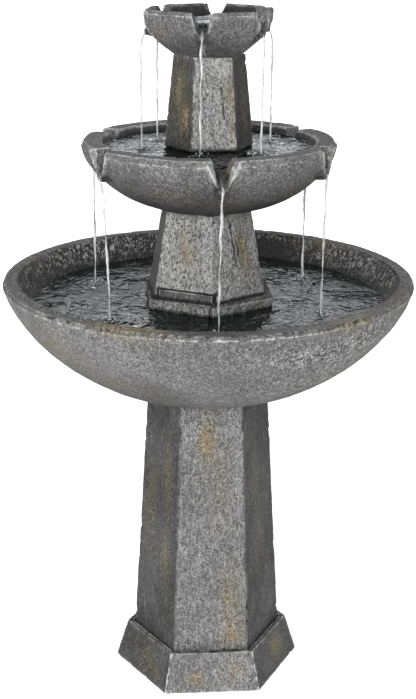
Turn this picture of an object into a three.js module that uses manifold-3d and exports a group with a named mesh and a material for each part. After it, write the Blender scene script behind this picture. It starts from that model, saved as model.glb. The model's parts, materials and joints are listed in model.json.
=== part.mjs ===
// Three-tier garden fountain in cast stone, with its pump, riser tube and pump access door.
// Millimetres, +Z up. The origin is the centre of the foot on the ground, and the pedestal's front
// face looks along -Y. A bearing is an angle in degrees from -Y towards +X.

import * as THREE from 'three';
import { ConvexGeometry } from 'three/addons/geometries/ConvexGeometry.js';
import { mergeVertices } from 'three/addons/utils/BufferGeometryUtils.js';
import Module from 'manifold-3d';

const wasm = await Module();
wasm.setup();

// Driving dimensions

const GAP = 0.3; // between pieces that rest on each other
const SIDES = 6; // every column is a hexagon
const FLAT = Math.cos(Math.PI / SIDES); // a hexagon's half width across flats, over its corner radius

const PLINTH = { foot: 149.8, shoulder: 130.4, height: 62, seatDepth: 10, seat: 121.8, bore: 103 };
const CORD_NOTCH = { width: 26, height: 14 };
const PEDESTAL = { foot: 118.4, head: 93.4, wall: 12, top: 473.7, turn: 30 };

const BASIN = { underside: 474, foot: 97, rimTop: 652.4, rim: 312.4, rimWidth: 27 };
const BASIN_FLOOR = { top: 488, flat: 122 };
const BASIN_SPIGOT = { radius: 66, depth: 10 };
const CORD_HOLE = { radius: 9, y: 54 };

const HOUSING = {
  band: 107.5, bandTurn: 0, bandEdge: 629.5, bandTop: 633.5,
  foot: 96.5, head: 72.5, top: 759.7, turn: 2, lean: -3.5, wall: 9,
};
const INLET = { width: 34, height: 13 };
const DOOR = {
  bearing: -30, sill: 510, top: 645, corner: 1.5, tongue: 13, right: 5, play: 1.3, latchPlay: 3.2,
};
const CHAMBER = 72; // from the axis to the chamber's flat inner face behind the door

const BOWL = { underside: 760, foot: 72, rimTop: 861.3, rim: 189.5, rimWidth: 31, turn: 1.7 };
const BOWL_FLOOR = { top: 775, flat: 82 };
const BOWL_SPIGOT = { radius: 46, depth: 9 };
const BOWL_SPOUT = {
  bearings: [0, 60, 120, 180, 240, 297.5], // one stands a little off the even spacing
  face: 190, lean: 4, depth: 45, shoulder: 27, tip: 5,
  mouth: 14.5, throat: 1.5, notch: 41, weir: 15, flare: 10,
};

const CAP = { turn: 3, foot: 66.4, head: 53, shoulder: 852, recess: 2.5, top: 984.7, wall: 8 };

const CUP = { underside: 985, foot: 47, rimTop: 1050, rim: 91, rimWidth: 13, turn: -10.8, facet: 0.8 };
const CUP_FLOOR = { top: 1000, flat: 40 };
const CUP_SPIGOT = { radius: 34, depth: 8 };
const CUP_SPOUT = {
  bearings: [0, 60, 120, 180, 240, 289], // one stands a little off the even spacing
  face: 97, lean: 2, depth: 36, shoulder: 17, tip: 3.5,
  mouth: 13.5, throat: 1.5, notch: 35, weir: 17, flare: 4,
};

const TUBE = { outer: 7.5, inner: 5.6, start: 562, end: 968 };
const NOZZLE = { stem: 6.8, bore: 7.4, barb: 5.2, flange: 13, way: 3.4 };

const PUMP = { bearing: DOOR.bearing, width: 46, low: 496, high: 546, axis: 521, back: -36, front: 6 };
const ROTOR = { cavity: 10.6, magnet: 9.8, bore: 1.8, shaft: 1.5, impeller: 13.5 };
const VOLUTE = { chamber: 15.5, front: 22, eye: 9.5, outletAt: 14, neck: 7.5, neckTop: 553 };
const COVER = { back: 22.3, front: 36, wall: 2, slot: 3 };
const DIAL = { radius: 7.5, z: 505.5, back: 36.4, front: 40.5 };

const CAST_STONE = { color: 0x77787a, roughness: 0.85, metalness: 0 };
const WET_STONE = { color: 0x5e6064, roughness: 0.6, metalness: 0 };
const PUMP_PLASTIC = { color: 0x17181a, roughness: 0.5, metalness: 0 };
const DIAL_PLASTIC = { color: 0x2c6aa0, roughness: 0.45, metalness: 0 };
const RUBBER = { color: 0x202020, roughness: 0.8, metalness: 0 };
const FOAM = { color: 0x2d3033, roughness: 1, metalness: 0 };
const VINYL = { color: 0xc9d2d0, roughness: 0.25, metalness: 0 };
const MAGNET = { color: 0x3a3b3e, roughness: 0.6, metalness: 0.3 };
const CERAMIC = { color: 0xe9e6de, roughness: 0.3, metalness: 0 };

// Solids and booleans

function solid(geometry) {
  const bare = geometry.index ? geometry.toNonIndexed() : geometry.clone();
  bare.deleteAttribute('normal');
  bare.deleteAttribute('uv');
  const merged = mergeVertices(bare, 1e-4);
  const corners = merged.index.array;
  const triVerts = [];
  for (let i = 0; i < corners.length; i += 3) {
    const [a, b, c] = corners.slice(i, i + 3);
    if (a !== b && b !== c && c !== a) triVerts.push(a, b, c);
  }
  return new wasm.Manifold(new wasm.Mesh({
    numProp: 3,
    vertProperties: new Float32Array(merged.attributes.position.array),
    triVerts: new Uint32Array(triVerts),
  }));
}

function join(...pieces) {
  return pieces.reduce((whole, piece) => whole.add(piece));
}

function cut(body, ...tools) {
  return tools.reduce((left, tool) => left.subtract(tool), body);
}

function geometryOf(manifold) {
  const mesh = manifold.getMesh();
  const geometry = new THREE.BufferGeometry();
  geometry.setAttribute('position', new THREE.BufferAttribute(mesh.vertProperties, 3));
  geometry.setIndex(new THREE.BufferAttribute(mesh.triVerts, 1));
  geometry.computeVertexNormals();
  return geometry;
}

// A solid of revolution about Z. The profile lists [radius, z] from the low end of the axis, round the
// outside, to its high end.
function turned(profile, segments) {
  const points = profile.map(([r, z]) => new THREE.Vector2(r, z));
  return new THREE.LatheGeometry(points, segments).rotateX(Math.PI / 2);
}

// A ring or disc between two heights, with an optional bore
function disc(outer, low, high, segments = 24, bore = 0) {
  const rod = solid(turned([[0, low], [outer, low], [outer, high], [0, high]], segments));
  if (!bore) return rod;
  return rod.subtract(disc(bore, low - 1, high + 1, segments));
}

// A straight or tapered prism on a regular polygon, its first corner at the bearing given by turn
function frustum(lowRadius, highRadius, low, high, turn, sides = SIDES) {
  const prism = new THREE.CylinderGeometry(highRadius, lowRadius, high - low, sides);
  prism.rotateX(Math.PI / 2).rotateZ(THREE.MathUtils.degToRad(turn)).translate(0, 0, (low + high) / 2);
  return solid(prism);
}

// A block between two corners, in a frame whose first axis points outward along -Y
function block(out, across, up) {
  const size = [out, across, up].map(([from, to]) => to - from);
  const middle = [out, across, up].map(([from, to]) => (from + to) / 2);
  const box = new THREE.BoxGeometry(size[1], size[0], size[2]);
  return solid(box.translate(middle[1], -middle[0], middle[2]));
}

// The convex solid round points given as [outward, across, up]
function wedge(points) {
  return solid(new ConvexGeometry(points.map(([out, across, up]) => new THREE.Vector3(across, -out, up))));
}

// A rod along the outward axis at a height, and optionally to one side
function rod(radius, from, to, z, across = 0, segments = 32) {
  const bar = new THREE.CylinderGeometry(radius, radius, to - from, segments);
  return solid(bar.translate(across, -(from + to) / 2, z));
}

function at(bearing, manifold) {
  return manifold.rotate([0, 0, bearing]);
}

function around(count, first, manifold) {
  const copies = [];
  for (let k = 0; k < count; k += 1) copies.push(at(first + (360 / count) * k, manifold));
  return copies;
}

// Points along a cubic curve between two ends, given its two handles
function sweep(start, handle1, handle2, end, count) {
  const ends = [start, handle1, handle2, end].map(([r, z]) => new THREE.Vector2(r, z));
  return new THREE.CubicBezierCurve(...ends).getPoints(count).map((p) => [p.x, p.y]);
}

// Castings

function basePlinth() {
  const { foot, shoulder, height, seatDepth, seat, bore } = PLINTH;
  const body = frustum(foot, shoulder, 0, height, PEDESTAL.turn);
  const half = CORD_NOTCH.width / 2;
  return cut(
    body,
    frustum(bore, bore, -1, height + 1, PEDESTAL.turn),
    frustum(seat, seat, height - seatDepth, height + 1, PEDESTAL.turn),
    block([-foot - 1, 5 - bore * FLAT], [-half, half], [-1, CORD_NOTCH.height]),
  );
}

function baseColumn() {
  const low = PLINTH.height - PLINTH.seatDepth + GAP;
  const { foot, head, wall, top, turn } = PEDESTAL;
  const inset = wall / FLAT;
  return cut(
    frustum(foot, head, low, top, turn),
    frustum(foot - inset, head - inset, low - 0.01, top + 0.01, turn),
  );
}

function lowerBasin() {
  const { underside, foot, rimTop, rim, rimWidth } = BASIN;
  const outside = sweep([foot, underside], [190, 489], [292, 571], [rim, rimTop - 7], 10);
  const inside = sweep([rim - rimWidth, rimTop - 3], [rim - 48, 605], [232, 560], [172, 512], 6);
  const basin = solid(turned([
    [0, underside], ...outside, [rim - 2, rimTop - 2], [rim - 5, rimTop], [rim - rimWidth + 3, rimTop],
    ...inside, [BASIN_FLOOR.flat, BASIN_FLOOR.top], [0, BASIN_FLOOR.top],
  ], 72));
  const spigot = disc(BASIN_SPIGOT.radius, underside - BASIN_SPIGOT.depth, underside + 2, 36);
  const cordHole = disc(CORD_HOLE.radius, underside - 20, rimTop, 24).translate([0, CORD_HOLE.y, 0]);
  return cut(join(basin, spigot), cordHole);
}

// The tapered shaft stands a little off the middle of its plinth band, as the casting does.
function housingShaft(lowRadius, highRadius, low, high) {
  return frustum(lowRadius, highRadius, low, high, HOUSING.turn).translate([HOUSING.lean, 0, 0]);
}

function housingShell() {
  const low = BASIN_FLOOR.top + GAP;
  const { band, bandTurn, bandEdge, bandTop, foot, head, top, wall } = HOUSING;
  const inset = wall / FLAT;
  const outside = join(
    frustum(band, band, low, bandEdge, bandTurn),
    frustum(band, foot - 3, bandEdge, bandTop, bandTurn),
    housingShaft(foot, head, bandEdge, top),
  );
  const chamber = CHAMBER / FLAT;
  const inside = join(
    frustum(chamber, chamber, low - 1, bandEdge, bandTurn),
    housingShaft(foot - inset, head - inset, bandEdge - 0.01, top + 0.01),
  );
  return cut(outside, inside);
}

// The L-shaped space that the access door fills, grown by play at its edges and by latchPlay at its
// right edge: the plinth band from corner to corner, with a narrower tongue above it.
function doorSpace(play, latchPlay) {
  const corner = HOUSING.band / 2;
  const out = [CHAMBER - 12, 120];
  const right = corner - DOOR.right + latchPlay;
  return at(DOOR.bearing, join(
    block(out, [DOOR.corner - corner - play, right], [DOOR.sill - play, HOUSING.bandTop]),
    block(out, [DOOR.tongue - corner - play, right], [DOOR.sill, DOOR.top + play]),
  ));
}

function middleColumn() {
  const low = BASIN_FLOOR.top;
  const half = INLET.width / 2;
  const inlet = block([CHAMBER - 8, 120], [-half, half], [low - 1, low + INLET.height]);
  const inlets = around(SIDES, 30, inlet).slice(0, SIDES - 1);
  return cut(housingShell(), doorSpace(DOOR.play, 0), ...inlets);
}

function pumpAccessDoor() {
  return housingShell().intersect(doorSpace(0, -DOOR.latchPlay));
}

// One beak with its gutter. Both are convex solids in the frame of a spout at bearing zero.
function spoutBeak(rimTop, inner, spout) {
  const { face, lean, depth, shoulder, tip } = spout;
  return wedge([
    [inner, shoulder, rimTop - 0.4], [face, shoulder - 2, rimTop - 1.2],
    [inner, -shoulder, rimTop - 0.4], [face, 2 - shoulder, rimTop - 1.2],
    [face - lean, tip, rimTop - depth], [inner, tip, rimTop - depth - 4],
    [face - lean, -tip, rimTop - depth], [inner, -tip, rimTop - depth - 4],
  ]);
}

function spoutGutter(rimTop, inner, spout) {
  const { face, mouth, throat, notch, weir } = spout;
  const above = 20;
  const slope = (mouth - throat) / notch;
  const fall = (notch - weir) / (face - inner);
  const behind = 14;
  const beyond = 14;
  const lowIn = rimTop - weir + fall * behind;
  const lowOut = rimTop - notch - fall * beyond;
  const points = [];
  for (const side of [-1, 1]) {
    points.push([inner - behind, side * (mouth - slope * weir) * 0.8, lowIn]);
    points.push([face + beyond, side * throat * 0.6, lowOut]);
    points.push([inner - behind, side * (mouth + slope * above), rimTop + above]);
    points.push([face + beyond, side * (mouth + slope * above), rimTop + above]);
  }
  return wedge(points);
}

// Bevels the two lips of a gutter where it opens at the face of the beak
function spoutFlare(rimTop, spout) {
  const { face, mouth, throat, notch, flare } = spout;
  const above = 20;
  const slope = (mouth - throat) / notch;
  const points = [];
  for (const side of [-1, 1]) {
    for (const [out, wider] of [[face - flare * 0.8, 0], [face + 6, flare + 6]]) {
      points.push([out, side * throat * 0.5, rimTop - notch - wider * 0.9]);
      points.push([out, side * (mouth + slope * above + wider), rimTop + above]);
    }
  }
  return wedge(points);
}

function spoutedBowl(outer, cavity, rimTop, inner, spout, turn) {
  const places = spout.bearings.map((bearing) => bearing + turn);
  const beaks = places.map((bearing) => at(bearing, spoutBeak(rimTop, inner, spout)));
  const gutters = places.map((bearing) => at(bearing, spoutGutter(rimTop, inner, spout)));
  const flares = places.map((bearing) => at(bearing, spoutFlare(rimTop, spout)));
  return cut(join(outer, ...beaks), cavity, ...gutters, ...flares);
}

function middleBowl() {
  const { underside, foot, rimTop, rim, rimWidth, turn } = BOWL;
  const spin = THREE.MathUtils.degToRad(turn);
  const outside = sweep([foot, underside], [137, 778], [160, 800], [rim - 4, rimTop - 25], 7);
  const outer = solid(turned([
    [0, underside], ...outside, [rim, rimTop - 8], [rim - 4.5, rimTop], [0, rimTop],
  ], 60).rotateZ(spin));
  const inner = rim - rimWidth;
  const wall = sweep([BOWL_FLOOR.flat, BOWL_FLOOR.top], [126, 786], [146, 812], [inner, rimTop - 3], 6);
  const cavity = solid(turned([
    [0, BOWL_FLOOR.top], ...wall, [inner + 3, rimTop + 0.01], [inner + 3, rimTop + 20], [0, rimTop + 20],
  ], 60).rotateZ(spin));
  const bowl = spoutedBowl(outer, cavity, rimTop, inner - 4, BOWL_SPOUT, turn);
  const spigot = disc(BOWL_SPIGOT.radius, underside - BOWL_SPIGOT.depth, underside + 2, 36);
  const tubeHole = disc(12, underside - 30, BOWL_FLOOR.top + 5, 24);
  return cut(join(bowl, spigot), tubeHole);
}

// The column's foot is drawn in a little below its shoulder.
function upperColumn() {
  const { turn, foot, head, shoulder, recess, top, wall } = CAP;
  const base = BOWL_FLOOR.top + GAP;
  const inset = wall / FLAT;
  const neck = foot - recess;
  return cut(
    join(
      frustum(foot, head, shoulder, top, turn + 30),
      frustum(neck, neck, base, shoulder + 1, turn + 30),
    ),
    frustum(neck - inset, neck - inset, base - 1, shoulder + 1, turn + 30),
    frustum(neck - inset, head - inset, shoulder + 0.99, top + 0.01, turn + 30),
  );
}

// Pulls a round section towards a hexagon with its corners at the spouts
function faceted(geometry, share, turn) {
  const position = geometry.attributes.position;
  const sector = (2 * Math.PI) / SIDES;
  for (let i = 0; i < position.count; i += 1) {
    const bearing = Math.atan2(position.getX(i), -position.getY(i)) + sector * SIDES;
    const offFace = (bearing % sector) - sector / 2;
    const swell = 1 + share * (1 / Math.cos(offFace) - 1);
    position.setXY(i, position.getX(i) * swell, position.getY(i) * swell);
  }
  return geometry.rotateZ(THREE.MathUtils.degToRad(turn));
}

function topBowl() {
  const { underside, foot, rimTop, rim, rimWidth, turn, facet } = CUP;
  const outside = sweep([foot, underside], [68, 1001], [84, 1013], [rim - 1, 1030], 5);
  const outer = solid(faceted(turned([
    [0, underside], ...outside, [rim, rimTop - 5], [rim - 2.5, rimTop], [0, rimTop],
  ], 48), facet, turn));
  const inner = rim - rimWidth;
  const wall = sweep([CUP_FLOOR.flat, CUP_FLOOR.top], [66, 1008], [74, 1020], [inner, rimTop - 2], 4);
  const cavity = solid(faceted(turned([
    [0, CUP_FLOOR.top], ...wall, [inner + 2, rimTop + 0.01], [inner + 2, rimTop + 20], [0, rimTop + 20],
  ], 48), facet, turn));
  const bowl = spoutedBowl(outer, cavity, rimTop, inner, CUP_SPOUT, turn);
  const spigot = disc(CUP_SPIGOT.radius, underside - CUP_SPIGOT.depth, underside + 2, 48);
  return cut(join(bowl, spigot), disc(NOZZLE.bore, underside - 30, CUP_FLOOR.top + 5));
}

// Water path

function riserTube() {
  const [x, y] = outletPlace();
  const stops = [ // [height, share of the way out to the pump's outlet]
    [TUBE.start, 1], [TUBE.start + 22, 1], [TUBE.start + 32, 1], [TUBE.start + 64, 0.5],
    [TUBE.start + 100, 0], [TUBE.start + 140, 0], [BOWL.underside, 0], [TUBE.end, 0],
  ];
  const points = stops.map(([z, share]) => new THREE.Vector3(x * share, y * share, z));
  const route = new THREE.CatmullRomCurve3(points, false, 'chordal');
  const ring = new THREE.Shape().absarc(0, 0, TUBE.outer, 0, 2 * Math.PI);
  ring.holes.push(new THREE.Path().absarc(0, 0, TUBE.inner, 0, 2 * Math.PI, true));
  return solid(new THREE.ExtrudeGeometry(ring, {
    steps: 22, curveSegments: 6, bevelEnabled: false, extrudePath: route,
  }));
}

function outletPlace() {
  const bearing = THREE.MathUtils.degToRad(PUMP.bearing);
  return [VOLUTE.outletAt * Math.sin(bearing), -VOLUTE.outletAt * Math.cos(bearing)];
}

function middleBowlGrommet() {
  const floor = BOWL_FLOOR.top;
  return cut(
    join(disc(11.7, BOWL.underside - 4, floor + 2), disc(16, floor + GAP, floor + 3)),
    disc(TUBE.outer + GAP, BOWL.underside - 30, floor + 10),
  );
}

function topOutletNozzle() {
  const floor = CUP_FLOOR.top;
  const crown = floor + 16;
  const profile = [
    [0, 952], [NOZZLE.barb - 1, 952], [NOZZLE.barb, 955], [NOZZLE.barb, 968.6], [NOZZLE.stem, 968.6],
    [NOZZLE.stem, floor + 2.1], [NOZZLE.flange, floor + 2.1], [NOZZLE.flange, floor + 4.6],
    [9, floor + 6], [6.6, crown - 2], [5.6, crown], [0, crown],
  ];
  return cut(solid(turned(profile, 32)), disc(NOZZLE.way, 900, crown + 10, 24));
}

function nozzleGasket() {
  return disc(12, CUP_FLOOR.top + GAP, CUP_FLOOR.top + 1.8, 24, NOZZLE.bore);
}

function nozzleNut() {
  const face = CUP.underside - CUP_SPIGOT.depth - GAP;
  return cut(
    join(frustum(12, 12, face - 6, face - 1.5, 0), disc(13, face - 1.5, face)),
    disc(NOZZLE.stem + GAP, face - 20, face + 5),
  );
}

function basinCordBung() {
  const { underside } = BASIN;
  const low = underside - BASIN_SPIGOT.depth;
  const plug = solid(turned([
    [0, low - 5], [CORD_HOLE.radius - 2, low - 5], [CORD_HOLE.radius - GAP, low + 2],
    [CORD_HOLE.radius - GAP, BASIN_FLOOR.top + 0.5], [12, BASIN_FLOOR.top + 0.5],
    [11, BASIN_FLOOR.top + 3], [0, BASIN_FLOOR.top + 3],
  ], 32));
  return cut(plug, disc(3.3, low - 20, BASIN_FLOOR.top + 20, 16)).translate([0, CORD_HOLE.y, 0]);
}

// Pump, built facing -Y and turned to face the door

function roundedBlock(out, halfWidth, up, radius) {
  const shape = new THREE.Shape();
  const [low, high] = up;
  shape.absarc(halfWidth - radius, high - radius, radius, 0, Math.PI / 2);
  shape.absarc(radius - halfWidth, high - radius, radius, Math.PI / 2, Math.PI);
  shape.absarc(radius - halfWidth, low + radius, radius, Math.PI, 1.5 * Math.PI);
  shape.absarc(halfWidth - radius, low + radius, radius, 1.5 * Math.PI, 2 * Math.PI);
  const bar = new THREE.ExtrudeGeometry(shape, {
    depth: out[1] - out[0], bevelEnabled: false, curveSegments: 4,
  });
  return solid(bar.rotateX(Math.PI / 2).translate(0, -out[0], 0));
}

const FEET = [[-28, -15], [-28, 15], [-4, -15], [-4, 15]]; // [outward, across] of the suction feet

function pumpBody() {
  const { width, low, high, axis, back, front } = PUMP;
  const housing = roundedBlock([back, front], width / 2, [low, high], 8);
  const sockets = FEET.map(([out, across]) => disc(2.9, low - 1, low + 5, 16).translate([across, -out, 0]));
  const glandSeat = rod(4.6, back - 1, back + 6, axis + 10, 0, 20);
  const half = width / 2 + 1.5;
  const ribs = [-28, -16, -4].map((out) => block([out, out + 2], [-half, half], [low + 12, high - 12]));
  return cut(
    join(housing, ...ribs),
    rod(ROTOR.cavity, -18, front + 1, axis),
    rod(4.2, -22, -17, axis),
    glandSeat,
    ...sockets,
  );
}

function rearShaftBush() {
  return cut(rod(3.9, -21.7, -17.3, PUMP.axis, 0, 24), rod(ROTOR.bore, -20.5, -10, PUMP.axis));
}

function frontShaftBush() {
  return cut(rod(3.4, 17.6, 21.4, PUMP.axis, 0, 24), rod(ROTOR.bore, 10, 20.2, PUMP.axis));
}

function pumpShaft() {
  return rod(ROTOR.shaft, -20.2, 19.9, PUMP.axis);
}

function rotorMagnet() {
  return cut(rod(ROTOR.magnet, -16.5, 5.4, PUMP.axis), rod(ROTOR.bore, -30, 30, PUMP.axis));
}

function impeller() {
  const { axis } = PUMP;
  const vane = block([8, 15], [-0.8, 0.8], [2, ROTOR.impeller - 0.5]);
  const vanes = [];
  for (let k = 0; k < 5; k += 1) {
    const lean = new THREE.Matrix4().makeRotationY((2 * Math.PI * k) / 5);
    vanes.push(vane.transform(lean.elements).translate([0, 0, axis]));
  }
  const back = rod(ROTOR.impeller, 6.6, 8.4, axis);
  const hub = rod(4.2, 5.7, 16, axis, 0, 24);
  return cut(join(back, hub, ...vanes), rod(ROTOR.bore, -30, 30, axis));
}

function voluteCover() {
  const { width, low, high, axis, front } = PUMP;
  const back = front + GAP;
  const housing = roundedBlock([back, VOLUTE.front], width / 2, [low, high], 8);
  const neck = disc(VOLUTE.neck, high - 3, VOLUTE.neckTop, 24).translate([0, -VOLUTE.outletAt, 0]);
  const outlet = disc(4.6, axis + 8, VOLUTE.neckTop + 1, 24).translate([0, -VOLUTE.outletAt, 0]);
  const chamber = rod(VOLUTE.chamber, back - 1, 17, axis);
  const eye = rod(VOLUTE.eye, 16, VOLUTE.front + 1, axis);
  const spokes = [0, 1, 2].map((k) => {
    const spoke = block([17.2, 20.5], [-1.2, 1.2], [4.4, VOLUTE.eye + 1.5]);
    const lean = new THREE.Matrix4().makeRotationY((2 * Math.PI * k) / 3);
    return spoke.transform(lean.elements).translate([0, 0, axis]);
  });
  const hub = rod(5, 17.2, VOLUTE.front - 0.1, axis, 0, 24);
  const seat = rod(3.7, 17, VOLUTE.front + 1, axis, 0, 24);
  return cut(join(cut(join(housing, neck), chamber, eye, outlet), hub, ...spokes), seat);
}

function intakeCover() {
  const { width, low, high } = PUMP;
  const { back, front, wall, slot } = COVER;
  const shell = cut(
    roundedBlock([back, front], width / 2, [low, high], 8),
    roundedBlock([back - 1, front - wall], width / 2 - wall, [low + wall, high - wall], 6),
  );
  const slots = [];
  for (let across = -15; across <= 15; across += 6) {
    const edge = [across - slot / 2, across + slot / 2];
    slots.push(block([front - wall - 1, front + 1], edge, [low + 22, high - 6]));
  }
  for (const side of [-1, 1]) {
    const edge = [side * (width / 2 - 4), side * (width / 2 + 4)].sort((a, b) => a - b);
    for (const z of [low + 12, low + 24, low + 36]) {
      slots.push(block([back + 3, front - 3], edge, [z - slot / 2, z + slot / 2]));
    }
  }
  return cut(shell, ...slots, rod(2.6, front - wall - 1, front + 1, DIAL.z, 0, 20));
}

function filterFoam() {
  const { width, low, high } = PUMP;
  const out = [COVER.back + 2, COVER.front - COVER.wall - 1];
  return cut(
    roundedBlock(out, width / 2 - 3.5, [low + 3.5, high - 3.5], 5),
    rod(4, COVER.back, COVER.front, DIAL.z, 0, 20),
  );
}

function flowDial() {
  const knob = rod(DIAL.radius, DIAL.back, DIAL.front, DIAL.z, 0, 36);
  const stub = rod(2.2, COVER.front - COVER.wall - 3, DIAL.back + 1, DIAL.z, 0, 20);
  const grip = block([DIAL.front - 1, DIAL.front + 3], [-1.5, 1.5], [DIAL.z - 6.5, DIAL.z + 6.5]);
  const notches = [];
  for (let k = 0; k < 9; k += 1) {
    const angle = (2 * Math.PI * k) / 9;
    const place = [DIAL.radius * Math.sin(angle), DIAL.z + DIAL.radius * Math.cos(angle)];
    notches.push(rod(1, DIAL.back - 1, DIAL.front + 1, place[1], place[0], 8));
  }
  return join(cut(knob, ...notches), stub, grip);
}

function outletAdapter() {
  const low = VOLUTE.neckTop + GAP;
  const profile = [
    [0, low], [VOLUTE.neck, low], [VOLUTE.neck, low + 6], [TUBE.inner - GAP, low + 8.4],
    [TUBE.inner - GAP, low + 24], [TUBE.inner - 1.3, low + 27], [0, low + 27],
  ];
  const body = cut(solid(turned(profile, 24)), disc(3.6, low - 5, low + 40, 24));
  return body.translate([0, -VOLUTE.outletAt, 0]);
}

function cableGland() {
  const z = PUMP.axis + 10;
  const { back } = PUMP;
  return cut(
    join(
      rod(4.3, back - 2, back + 5.5, z, 0, 20),
      rod(6.4, back - 3, back - GAP, z, 0, 20),
      rod(4.8, back - 10, back - 2, z, 0, 20),
    ),
    rod(3.1, back - 20, back + 2, z, 0, 16),
  );
}

function suctionFoot([out, across]) {
  const floor = BASIN_FLOOR.top + GAP;
  const { low } = PUMP;
  const profile = [
    [0, floor + 2.5], [5, floor + 1.5], [9, floor], [9.4, floor + 0.8], [5.5, floor + 4], [4, low - GAP],
    [2.6, low - GAP], [2.6, low + 4.5], [0, low + 4.5],
  ];
  return solid(turned(profile, 16)).translate([across, -out, 0]);
}

// Assembly

const fountain = new THREE.Group();
fountain.name = 'tiered_water_fountain';

function place(group, name, manifold, finish) {
  const material = new THREE.MeshStandardMaterial(finish);
  const mesh = new THREE.Mesh(geometryOf(manifold), material);
  mesh.name = name;
  group.add(mesh);
}

place(fountain, 'base_plinth', basePlinth(), CAST_STONE);
place(fountain, 'base_column', baseColumn(), CAST_STONE);
place(fountain, 'lower_basin', lowerBasin(), CAST_STONE);
place(fountain, 'middle_column', middleColumn(), CAST_STONE);
place(fountain, 'pump_access_door', pumpAccessDoor(), WET_STONE);
place(fountain, 'middle_bowl', middleBowl(), CAST_STONE);
place(fountain, 'upper_column', upperColumn(), CAST_STONE);
place(fountain, 'top_bowl', topBowl(), CAST_STONE);

place(fountain, 'riser_tube', riserTube(), VINYL);
place(fountain, 'middle_bowl_grommet', middleBowlGrommet(), RUBBER);
place(fountain, 'top_outlet_nozzle', topOutletNozzle(), PUMP_PLASTIC);
place(fountain, 'nozzle_gasket', nozzleGasket(), RUBBER);
place(fountain, 'nozzle_nut', nozzleNut(), PUMP_PLASTIC);
place(fountain, 'basin_cord_bung', basinCordBung(), RUBBER);

const pump = new THREE.Group();
pump.rotation.z = THREE.MathUtils.degToRad(PUMP.bearing);
fountain.add(pump);
place(pump, 'pump_body', pumpBody(), PUMP_PLASTIC);
place(pump, 'rear_shaft_bush', rearShaftBush(), RUBBER);
place(pump, 'pump_shaft', pumpShaft(), CERAMIC);
place(pump, 'pump_rotor_magnet', rotorMagnet(), MAGNET);
place(pump, 'pump_impeller', impeller(), DIAL_PLASTIC);
place(pump, 'pump_volute_cover', voluteCover(), PUMP_PLASTIC);
place(pump, 'front_shaft_bush', frontShaftBush(), RUBBER);
place(pump, 'pump_intake_cover', intakeCover(), PUMP_PLASTIC);
place(pump, 'pump_filter_foam', filterFoam(), FOAM);
place(pump, 'pump_flow_dial', flowDial(), DIAL_PLASTIC);
place(pump, 'pump_outlet_adapter', outletAdapter(), PUMP_PLASTIC);
place(pump, 'pump_cable_gland', cableGland(), RUBBER);
FEET.forEach((foot, k) => place(pump, `suction_foot_${k + 1}`, suctionFoot(foot), RUBBER));

export default fountain;
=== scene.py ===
import json
import math

import bmesh
import bpy
import numpy as np
from mathutils import Matrix, Vector


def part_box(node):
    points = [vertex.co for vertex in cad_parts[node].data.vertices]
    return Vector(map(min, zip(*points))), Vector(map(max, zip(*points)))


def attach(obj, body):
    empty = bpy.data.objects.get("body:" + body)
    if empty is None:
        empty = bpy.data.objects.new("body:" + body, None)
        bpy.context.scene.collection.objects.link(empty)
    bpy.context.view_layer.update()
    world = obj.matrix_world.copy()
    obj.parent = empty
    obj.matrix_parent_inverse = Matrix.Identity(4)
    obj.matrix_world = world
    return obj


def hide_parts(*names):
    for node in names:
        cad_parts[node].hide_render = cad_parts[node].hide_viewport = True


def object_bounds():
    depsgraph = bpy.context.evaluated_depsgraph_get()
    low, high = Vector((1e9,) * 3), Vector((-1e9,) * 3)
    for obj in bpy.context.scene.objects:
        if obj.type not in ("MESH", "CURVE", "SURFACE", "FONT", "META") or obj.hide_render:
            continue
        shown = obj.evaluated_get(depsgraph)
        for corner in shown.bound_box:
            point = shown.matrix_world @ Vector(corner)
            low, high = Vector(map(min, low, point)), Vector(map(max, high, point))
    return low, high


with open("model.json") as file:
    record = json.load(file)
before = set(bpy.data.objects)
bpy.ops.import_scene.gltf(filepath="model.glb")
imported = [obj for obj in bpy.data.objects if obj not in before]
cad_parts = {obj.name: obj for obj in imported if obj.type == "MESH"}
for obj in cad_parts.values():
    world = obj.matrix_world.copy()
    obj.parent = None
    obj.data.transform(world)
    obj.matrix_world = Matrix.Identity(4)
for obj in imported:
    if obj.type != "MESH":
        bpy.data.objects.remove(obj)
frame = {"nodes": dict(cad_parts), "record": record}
nodes = frame["nodes"]
cad_low, cad_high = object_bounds()

# Places and sizes, in metres. A bearing is in degrees from -Y towards +X.

BASIN_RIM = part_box("lower_basin")[1].z
BOWL_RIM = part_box("middle_bowl")[1].z
CUP_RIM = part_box("top_bowl")[1].z
BASIN_WATER = BASIN_RIM - 0.037
BOWL_WATER = BOWL_RIM - 0.0113
CUP_WATER = CUP_RIM - 0.015

BAND_TOP = BASIN_RIM - 0.0189  # of the band round the middle column's foot

BASIN_TURN, BASIN_SEGMENTS = 0, 72
BOWL_TURN, BOWL_SEGMENTS = 1.7, 60
CUP_TURN, CUP_SEGMENTS = -10.8, 48

# The bearings of the spouts. One of each bowl's stands a little off the even spacing.
BOWL_SPOUTS = [angle + BOWL_TURN for angle in (0, 60, 120, 180, 240, 297.5)]
CUP_SPOUTS = [angle + CUP_TURN for angle in (0, 60, 120, 180, 240, 289)]

# Where each gutter starts and ends: (distance from the axis, depth below the rim)
BOWL_GUTTER = {"weir": (0.1545, 0.015), "lip": (0.1895, 0.041)}
CUP_GUTTER = {"weir": (0.078, 0.017), "lip": (0.0965, 0.035)}

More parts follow.
